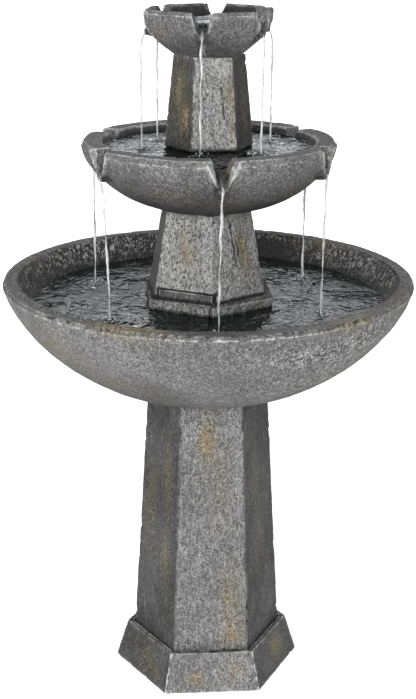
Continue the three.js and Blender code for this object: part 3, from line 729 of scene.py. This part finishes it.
def wetness_and_shadow(node, points, facing):
    """How much each point is darkened by water, under it, along its edge and where it runs, and by the
    painted shadow on the back inner walls of the basin and the middle bowl
    """
    x, y, z = points.T
    radius = np.hypot(x, y)
    outward = (facing[:, 0] * x + facing[:, 1] * y) / np.maximum(radius, 1e-6)
    inner = ramp(outward, 0.45, 0.10) * ramp(facing[:, 2], -0.4, -0.1)
    splash = 0.010 * fractal(points, 0.03, 3, 5)
    if node == "lower_basin":
        shore = ramp(z, BASIN_WATER + 0.014 + splash, BASIN_WATER + 0.4 * splash)
        # Painted shadow on the wall behind the middle column goes in with the wet shore
        inside = (radius < 0.292) * inner * np.maximum(shore, shaded_wall(points))
        rim = ramp(facing[:, 2], 0.5, 0.85) * ramp(y, -0.16, -0.24) * ramp(x, -0.09, -0.02)
        return np.maximum(inside, 0.75 * rim * (z > BASIN_RIM - 0.012))
    if node in HOUSING:
        return ramp(z, BASIN_WATER + 0.004 + 0.3 * splash, BASIN_WATER + 0.001)
    if node == "middle_bowl":
        shore = ramp(z, BOWL_WATER + 0.006 + 0.4 * splash, BOWL_WATER)
        # Painted shadow on the middle bowl's inner wall at the back right
        shadow = 0.9 * ramp(x, 0.02, 0.05) * ramp(y, 0.02, 0.05)
        shadow = shadow * ramp(z, BOWL_RIM - 0.001, BOWL_RIM - 0.005)
        inside = (radius < 0.160) * inner * np.maximum(shore, shadow)
        gutters = near_spouts(points, BOWL_SPOUTS, 0.145, 0.014)
        gutters = gutters * ramp(z, BOWL_RIM - 0.010, BOWL_RIM - 0.022)
        return np.maximum(inside, gutters * ramp(z, BOWL_RIM - 0.062, BOWL_RIM - 0.045))
    if node == "top_bowl":
        inside = 0.92 * (radius < 0.081) * inner * ramp(z, CUP_RIM - 0.001, CUP_RIM - 0.005)
        gutters = near_spouts(points, CUP_SPOUTS, 0.072, 0.012)
        gutters = gutters * ramp(z, CUP_RIM - 0.010, CUP_RIM - 0.020)
        return np.maximum(inside, gutters * ramp(z, CUP_RIM - 0.052, CUP_RIM - 0.040))
    if node == "upper_column":
        return ramp(z, BOWL_WATER + 0.007 + 0.4 * splash, BOWL_WATER + 0.003)
    return np.zeros(len(points))


def paleness(node, points, facing, edge):
    """Where the stone is limed pale: the door's foot, and the two columns' fronts and the lips of the
    spouts, which are partly painted light: faces that look forward and back and the middle column's left
    side are paler, and the spout lips carry a painted highlight
    """
    # Painted light: faces that look forward and back are paler
    front = ramp(np.abs(facing[:, 1]), 0.56, 0.84)
    if node == "middle_column":
        # Painted light: the middle column is paler still towards its left, where the light comes from
        return 0.20 + 0.80 * front * ramp(points[:, 0], 0.12, -0.05)
    if node == "pump_access_door":
        return 0.80 * ramp(points[:, 2], BAND_TOP + 0.001, BAND_TOP - 0.001)
    if node == "upper_column":
        return 0.70 * front
    lips = {"middle_bowl": (BOWL_SPOUTS, 0.150, 0.040), "top_bowl": (CUP_SPOUTS, 0.076, 0.030)}
    if node in lips:
        bearings, reach, width = lips[node]
        outward = ramp((facing[:, :2] * points[:, :2]).sum(axis=1), 0.0, 0.03)
        lip = near_spouts(points, bearings, reach, width)
        return 0.75 * lip * ramp(edge, 0.45, 0.85) * outward
    return np.zeros(len(points))


def roughcast(node, points, facing):
    """Where the casting is left rough: the basin's inner wall and right side, and the housing's band"""
    x, y, z = points.T
    if node == "lower_basin":
        radius = np.hypot(x, y)
        outward = (facing[:, 0] * x + facing[:, 1] * y) / np.maximum(radius, 1e-6)
        inner = ramp(outward, 0.3, -0.1) * (z > 0.50) * (radius < 0.30) * (1 - shaded_wall(points))
        return np.maximum(inner, spots(points, ROUGH_PLACES))
    if node in HOUSING:
        return 0.70 * ramp(z, BAND_TOP + 0.003, BAND_TOP + 0.001)
    return np.zeros(len(points))


def sharp_lines(node):
    """A CAD node's convex and concave edges, each as an array of pairs of points"""
    shape = bmesh.new()
    shape.from_mesh(nodes[node].data)
    bmesh.ops.remove_doubles(shape, verts=shape.verts, dist=WELD)
    convex, concave = [], []
    for line in shape.edges:
        angle = line.calc_face_angle_signed(0.0)
        if abs(angle) > SHARP:
            (convex if angle > 0 else concave).append([tuple(vert.co) for vert in line.verts])
    shape.free()
    return np.array(convex), np.array(concave)


def nearness(points, lines, reach):
    """1 on the lines, falling evenly to 0 at reach from them, and the nearest point on them"""
    best = np.full(len(points), reach**2)
    nearest = points.copy()
    for a, b in lines:
        low, high = np.minimum(a, b) - reach, np.maximum(a, b) + reach
        near = np.flatnonzero(np.all((points > low) & (points < high), axis=1))
        if len(near):
            t = np.clip(((points[near] - a) @ (b - a)) / ((b - a) @ (b - a)), 0, 1)
            foot = a + t[:, None] * (b - a)
            gap = ((points[near] - foot) ** 2).sum(axis=1)
            closer = gap < best[near]
            best[near[closer]] = gap[closer]
            nearest[near[closer]] = foot[closer]
    return 1 - np.sqrt(best) / reach, nearest


def front_facet(points):
    """1 on a hexagonal column's front and back facets and 0 on its sides, with a soft step at the ridge"""
    ways = [np.array(along(bearing, 1.0)[:2]) for bearing in (0, 60, 120)]
    facets = [np.abs(points[:, :2] @ way) for way in ways]
    return np.clip(0.5 + (facets[0] - np.maximum(facets[1], facets[2])) / RIDGE_WIDTH, 0, 1)


def brushing_and_light(node, points, facing, segments, seed):
    """How much of the brushed paint each point took, which is also painted light: most on what faces
    outward, or on a column's front and back faces, and least under and inside things, where shade falls
    """
    if node in ("base_column", "base_plinth"):
        # Painted light: the front and back facets take the most, the side facets and flat tops the least
        return 0.08 + 0.92 * front_facet(points) * ramp(np.abs(facing[:, 2]), 0.95, 0.75)
    if segments:
        radius = np.maximum(np.hypot(points[:, 0], points[:, 1]), 1e-6)
        outward = (facing[:, :2] * points[:, :2]).sum(axis=1) / radius
        brush_and_light = (0.74 + 0.30 * fractal(points, 0.08, 2, seed + 5)) * ramp(outward, -0.6, -0.1)
        # Painted shade: less under things and none on faces that look inward
        return brush_and_light * (0.15 + 0.85 * ramp(facing[:, 2], -0.99, -0.52))
    # Painted light: the faces that look forward and back take the most
    brush_and_light = 0.08 + 0.92 * ramp(np.abs(facing[:, 1]), 0.60, 0.88)
    if node == "pump_access_door":
        brush_and_light = brush_and_light * (1 - 0.55 * ramp(points[:, 2], BAND_TOP - 0.001, BAND_TOP + 0.001))
    return brush_and_light


def weathering(points, edge, wave, seed):
    """How far each point is sunk: long waves, fine unevenness, and worn and chipped corners"""
    ridge = ramp(edge, 0.6, 1.0)
    chips = ramp(edge, 0.45, 0.85) * ramp(fractal(points, 0.009, 2, seed + 3), 0.60, 0.78)
    sink = wave * (fractal(points, 0.055, 3, seed + 1) - 0.5)
    sink = sink + 0.0010 * (fractal(points, 0.012, 3, seed + 2) - 0.5)
    return sink + ridge * 0.0010 * (fractal(points, 0.022, 3, seed) - 0.4) + CHIP_DEPTH * chips


def cracking(node, points, seed):
    """1 in the cracks and the small round holes, falling to 0 beside them"""
    crack = np.zeros(len(points))
    for run in CRACKS.get(node, []):
        wander = points + 0.005 * (fractal(points, 0.012, 3, seed + 7)[:, None] - 0.5)
        crack = np.maximum(crack, ramp(distance_to_run(wander, run), CRACK_REACH, 0.0))
    for x, y, z, radius in BLOWHOLES.get(node, []):
        away = np.linalg.norm(points - np.array((x, y, z)), axis=1)
        crack = np.maximum(crack, ramp(away, radius * 2.2, radius * 0.5))
    return crack


def scraped(node, points, edge, seed):
    """The edge values, raised along the pale scrapes so that these turn white too"""
    for run in SCRAPES.get(node, []):
        wander = points + 0.026 * (fractal(points, 0.020, 3, seed + 9)[:, None] - 0.5)
        load = 0.62 + 0.50 * fractal(points, 0.010, 2, seed + 6)
        edge = np.maximum(edge, load * ramp(distance_to_run(wander, run), SCRAPE_REACH, 0.0))
    return edge


def casting(node, voxel, material, segments=None, turn=0, body="root", wave=0.0012, rub_and_highlight=1.0, seed=1):
    """The weathered skin of one casting, made from its CAD node. Round ones give segments and turn."""
    mesh = remeshed(node, voxel)
    points = positions(mesh)
    convex, concave = sharp_lines(node)
    edge, ridge_foot = nearness(points, convex, EDGE_REACH)
    hollow_shade, _ = nearness(points, concave, HOLLOW_REACH)
    on_ridge = (1 - edge) * EDGE_REACH < SNAP * voxel
    points[on_ridge] = ridge_foot[on_ridge]
    if node == "middle_column":
        door_lines, _ = sharp_lines("pump_access_door")
        seam, _ = nearness(points, door_lines, SEAM_REACH)
        # Painted shade: the seams round the door go dark like the hollows
        edge, hollow_shade = edge * (1 - seam), np.maximum(hollow_shade, 1.6 * seam)
    average = Averager(mesh)
    if segments:
        points = rounded(points, segments, turn)
        plain = 1 - np.maximum(edge, hollow_shade)
        even = average.soften(points, round((PROFILE_BLUR / voxel) ** 2))
        points = points + ramp(plain, 0.3, 1.0)[:, None] * (even - points)
    points = np.where(on_ridge[:, None], points, average.soften(points, 2))
    set_positions(mesh, points)
    facing = average.soften(normals(mesh), 2)
    facing = facing / np.linalg.norm(facing, axis=1)[:, None]

    sink = weathering(points, edge, wave, seed)
    crack = cracking(node, points, seed)
    edge = scraped(node, points, edge, seed)
    points = points - facing * (sink + CRACK_DEPTH * ramp(crack, 0.7, 1.0))[:, None]
    points = np.clip(points, np.array(cad_low) + MARGIN, np.array(cad_high) - MARGIN)
    set_positions(mesh, points)

    if node in HOUSING:
        # Painted shade on the flat ledge above the housing's band, with less of the painted highlight at its
        # edge
        ledge = ramp(facing[:, 2], 0.72, 0.92) * ramp(points[:, 2], 0.66, 0.65)
        hollow_shade = np.maximum(hollow_shade, ledge * ramp(hollow_shade, 0.25, 0.55))
        edge = edge * (1 - 0.6 * ledge)
    layers = {
        # The strength of the rubbed pale wear and painted highlight along each casting's corners
        "edge": edge * rub_and_highlight,
        "hollow_shade": hollow_shade * (0.35 if segments else 1.0),
        "pale": paleness(node, points, facing, edge),
        "rough": roughcast(node, points, facing),
        "brush_and_light": brushing_and_light(node, points, facing, segments, seed),
        "stain": spots(points, OCHRE_STAINS.get(node, [])),
        "rust": spots(points, RUST_STAINS.get(node, [])),
        "crack": crack,
        "wet_and_shadow": wetness_and_shadow(node, points, facing),
    }
    for name, values in layers.items():
        paint(mesh, name, values)
    piece = new_object(node + "_casting", mesh, material, body)
    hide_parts(node)


# Water

POOL_DEPTH = 0.004  # of the lens of water that stands for each pool
RING_HEIGHT, RING_SPACING, RING_REACH = 0.0017, 0.011, 0.025  # of the ripples round a landing
GRAVITY = 9.81
SLIDE = 0.20  # metres a second down the beak
STEP = 0.0035  # between the sections of a stream
TUBE_SIDES = 14
SPLASH_SEED = 30  # added to a stream's seed for its splash
FOAM_SEED = 220


def pool(name, level, inner, outer, drops, material, rings, spokes):
    """A shallow lens of water with a rippled top, and rings where the drops land.

    inner and outer give the distance from the axis to its edges at each bearing, and rings and spokes
    how finely the mesh is divided.
    """
    shape = bmesh.new()
    top, under = [], []
    for i in range(rings + 1):
        share = i / rings
        row_top, row_under = [], []
        for j in range(spokes):
            bearing = 360 * j / spokes
            near, far = inner(bearing), outer(bearing)
            spot = along(bearing, near + (far - near) * share, level)
            row_top.append(shape.verts.new(spot))
            row_under.append(shape.verts.new(spot - Vector((0, 0, POOL_DEPTH))))
        top.append(row_top)
        under.append(row_under)
    for i in range(rings):
        for j in range(spokes):
            k = (j + 1) % spokes
            shape.faces.new((top[i][j], top[i][k], top[i + 1][k], top[i + 1][j]))
            shape.faces.new((under[i][j], under[i + 1][j], under[i + 1][k], under[i][k]))
    for j in range(spokes):
        k = (j + 1) % spokes
        shape.faces.new((top[0][k], top[0][j], under[0][j], under[0][k]))
        shape.faces.new((top[-1][j], top[-1][k], under[-1][k], under[-1][j]))
    bmesh.ops.recalc_face_normals(shape, faces=shape.faces)
    mesh = bpy.data.meshes.new(name)
    shape.to_mesh(mesh)
    shape.free()

    points = positions(mesh)
    upper = points[:, 2] > level - POOL_DEPTH / 2
    lift = 0.0016 * (fractal(points, 0.030, 2, 21) - 0.5)
    for x, y in drops:
        away = np.hypot(points[:, 0] - x, points[:, 1] - y)
        ripple = np.cos(away * 2 * math.pi / RING_SPACING)
        lift = lift + RING_HEIGHT * ripple * np.exp(-away / RING_REACH)
    points[:, 2] += upper * lift
    set_positions(mesh, points)
    new_object(name, mesh, material)


def circle(radius):
    return lambda bearing: radius


def hexagon(corner, turn):
    """Distance from the axis to a hexagon's side at each bearing, its first corner at turn"""

    def distance(bearing):
        off_face = math.radians((bearing - turn) % 60 - 30)
        return corner * math.cos(math.pi / 6) / math.cos(off_face)

    return distance


def tube(name, centre, sections, material):
    """A closed tube through points, each with its own (half width, half depth, twist, froth)"""
    shape = bmesh.new()
    rows, froth = [], []
    for i, (spot, (wide, deep, twist, air)) in enumerate(zip(centre, sections)):
        froth += [air] * TUBE_SIDES
        ahead = centre[min(i + 1, len(centre) - 1)] - centre[max(i - 1, 0)]
        ahead.normalize()
        aside = ahead.cross(Vector((0.3, 0.1, 1)))
        if i:
            aside = last_aside - ahead * last_aside.dot(ahead)
        aside.normalize()
        last_aside = aside
        other = ahead.cross(aside)
        turn = math.radians(twist)
        row = []
        for k in range(TUBE_SIDES):
            angle = 2 * math.pi * k / TUBE_SIDES
            u, v = wide * math.cos(angle), deep * math.sin(angle)
            across = u * math.cos(turn) - v * math.sin(turn)
            through = u * math.sin(turn) + v * math.cos(turn)
            row.append(shape.verts.new(spot + aside * across + other * through))
        rows.append(row)
    for one, other in zip(rows, rows[1:]):
        for k in range(TUBE_SIDES):
            m = (k + 1) % TUBE_SIDES
            shape.faces.new((one[k], one[m], other[m], other[k]))
    shape.faces.new(rows[0][::-1])
    shape.faces.new(rows[-1])
    bmesh.ops.recalc_face_normals(shape, faces=shape.faces)
    mesh = bpy.data.meshes.new(name)
    shape.to_mesh(mesh)
    shape.free()
    paint(mesh, "froth", np.array(froth))
    new_object(name, mesh, material)


def gutter_run(start, weir, lip, size):
    """The middle line and sections of a stream from its bowl over the weir and down to the lip"""
    centre, sections = [], []
    for share in np.linspace(0, 1, 5)[:-1]:
        centre.append(start.lerp(weir, share))
        sections.append((size * 1.5, size * 0.45, 0, 0.05))
    for share in np.linspace(0, 1, 9)[:-1]:
        centre.append(weir.lerp(lip, share))
        sections.append((size * (1.5 - 0.75 * share), size * 0.45, 0, 0.05 + 0.5 * share**3))
    return centre, sections


def stream(name, bearing, gutter, rim, level, below, path, material, size, seed):
    """Water that runs down a gutter, leaves its lip and falls to the pool below. Returns where it lands.

    path is how far it springs outward as it leaves, and how fast it drifts aside, in metres and m/s.
    """
    spring, drift = path
    chance = np.random.default_rng(seed)
    weir_out, weir_down = gutter["weir"]
    lip_out, lip_down = gutter["lip"]
    start = along(bearing, weir_out - 0.010, level - 0.0010)
    weir = along(bearing, weir_out + 0.001, rim - weir_down + 0.0018)
    lip = along(bearing, lip_out - 0.002, rim - lip_down + 0.0014)
    out = along(bearing, 1.0)
    side = Vector((-out.y, out.x, 0))
    centre, sections = gutter_run(start, weir, lip, size)

    fall = lip.z - below + POOL_DEPTH
    count = int(fall / STEP)
    phase, pace = chance.uniform(0, 180), chance.uniform(1500, 2100)
    wobble = chance.uniform(0, 6.28)
    for k in range(count + 1):
        drop = fall * k / count
        time = (math.sqrt(SLIDE**2 + 2 * GRAVITY * drop) - SLIDE) / GRAVITY
        outward = spring * (1 - math.exp(-drop / 0.008))
        sway = 0.0007 * math.sin(drop * 130 + wobble) * min(1, drop / 0.02)
        spot = lip + out * outward + side * (drift * time + sway) - Vector((0, 0, drop))
        centre.append(spot)
        thin = math.sqrt(SLIDE / (SLIDE + GRAVITY * time)) * 0.50 + 0.50
        bead = 1 + 0.16 * math.sin(drop * 420 + phase) * min(1, drop / 0.04)
        ease = min(1, drop / 0.015)
        wide = size * (0.75 + 0.25 * ease) * thin * bead
        flat = 0.55 - 0.05 * ease
        deep = wide * flat * (1 + 0.3 * math.sin(drop * 210))
        sections.append((wide, deep, ease * (phase + drop * pace), 0.55 + 0.45 * ease))
    tube(name, centre, sections, material)
    return centre[-1]


def splash(name, spot, level, material, seed, count, scale=1.0):
    """Bubbles and a few drops thrown up where a stream lands"""
    chance = np.random.default_rng(seed)
    shape = bmesh.new()
    for k in range(count):
        angle = chance.uniform(0, 2 * math.pi)
        away = 0.003 + 0.017 * chance.random() ** 0.8
        size = scale * chance.uniform(0.0010, 0.0026) * (1.25 - away / 0.025)
        high = level + size * 0.2 + (chance.uniform(0.003, 0.009) if k % 4 == 0 else 0)
        place = Vector((spot.x + away * math.cos(angle), spot.y + away * math.sin(angle), high))
        made = bmesh.ops.create_icosphere(shape, subdivisions=2, radius=size)
        for vert in made["verts"]:
            vert.co.z *= 0.75
            vert.co += place
    mesh = bpy.data.meshes.new(name)
    shape.to_mesh(mesh)
    shape.free()
    paint(mesh, "froth", np.full(len(mesh.vertices), 0.8))
    new_object(name, mesh, material)


def waterfall(name, spouts, paths, gutter, rim, level, below, size, bubbles, seed, material):
    """The streams and splashes from one bowl to the pool below. Returns where they land, as (x, y)."""
    landings = []
    for index, (bearing, path) in enumerate(zip(spouts, paths)):
        end = stream(
            f"{name}_stream_{index + 1}", bearing, gutter, rim, level, below, path,
            material, size, seed + index,
        )
        splash(f"{name}_splash_{index + 1}", end, below, material, seed + SPLASH_SEED + index, bubbles)
        landings.append(end[:2])
    return landings


# Assembly


def make_floor():
    shape = bmesh.new()
    bmesh.ops.create_grid(shape, x_segments=FLOOR_SQUARES, y_segments=FLOOR_SQUARES, size=FLOOR_SIZE)
    mesh = bpy.data.meshes.new("floor")
    shape.to_mesh(mesh)
    shape.free()
    mesh.materials.append(floor_material())
    floor = bpy.data.objects.new("floor", mesh)
    bpy.context.collection.objects.link(floor)


def make_castings():
    """Every stone node, each with its voxel size in metres: finer where the casting is smaller"""
    stone = stone_material()
    casting("base_plinth", 0.0028, stone, rub_and_highlight=1.1, seed=3)
    casting("base_column", 0.0030, stone, rub_and_highlight=0.78, seed=14)
    casting("lower_basin", 0.0033, stone, BASIN_SEGMENTS, BASIN_TURN, rub_and_highlight=0.90, seed=25)
    casting("middle_column", 0.0023, stone, seed=36)
    casting("pump_access_door", 0.0016, stone, body="access_door", wave=0.0005, seed=47)
    casting("middle_bowl", 0.0023, stone, BOWL_SEGMENTS, BOWL_TURN, seed=58)
    casting("upper_column", 0.0019, stone, wave=0.0008, seed=69)
    casting("top_bowl", 0.0015, stone, CUP_SEGMENTS, CUP_TURN, wave=0.0008, rub_and_highlight=0.9, seed=70)


def make_water():
    still, falling = pool_material(), stream_material()
    upper = waterfall(
        "upper", CUP_SPOUTS, CUP_PATHS, CUP_GUTTER, CUP_RIM, CUP_WATER, BOWL_WATER,
        size=0.0025, bubbles=15, seed=100, material=falling,
    )
    lower = waterfall(
        "lower", BOWL_SPOUTS, BOWL_PATHS, BOWL_GUTTER, BOWL_RIM, BOWL_WATER, BASIN_WATER,
        size=0.0030, bubbles=20, seed=160, material=falling,
    )
    for index, (x, y, count) in enumerate(FOAM):
        spot = Vector((x, y, 0))
        splash(f"foam_{index + 1}", spot, BASIN_WATER, falling, FOAM_SEED + index, count, 1.5)
    pool("basin_water", BASIN_WATER, hexagon(0.1065, 0), circle(0.2720), lower, still, rings=90, spokes=360)
    pool("bowl_water", BOWL_WATER, hexagon(0.0615, 33), circle(0.1575), upper, still, rings=60, spokes=300)
    pool("cup_water", CUP_WATER, circle(0.0002), circle(0.0775), [(0, 0)], still, rings=44, spokes=160)


def finish_pump_parts():
    """The parts that keep their CAD shape get the material that their record names"""
    finishes = {
        "pump_plastic": plastic_material("pump_plastic", (0.012, 0.012, 0.014), 0.42),
        "dial_plastic": plastic_material("dial_plastic", (0.025, 0.12, 0.32), 0.30),
        "rubber": rubber_material(),
        "filter_foam": foam_material(),
        "clear_vinyl": vinyl_material(),
        "magnet": magnet_material(),
        "ceramic": ceramic_material(),
    }
    for entry in frame["record"]["subparts"]:
        finish = finishes.get(entry["material_slot"])
        if finish:
            for held in nodes[entry["node"]].material_slots:
                held.material = finish


make_camera()
make_world()
for lamp, settings in LAMPS.items():
    area_light(lamp, *settings)
make_floor()
make_castings()
make_water()
finish_pump_parts()
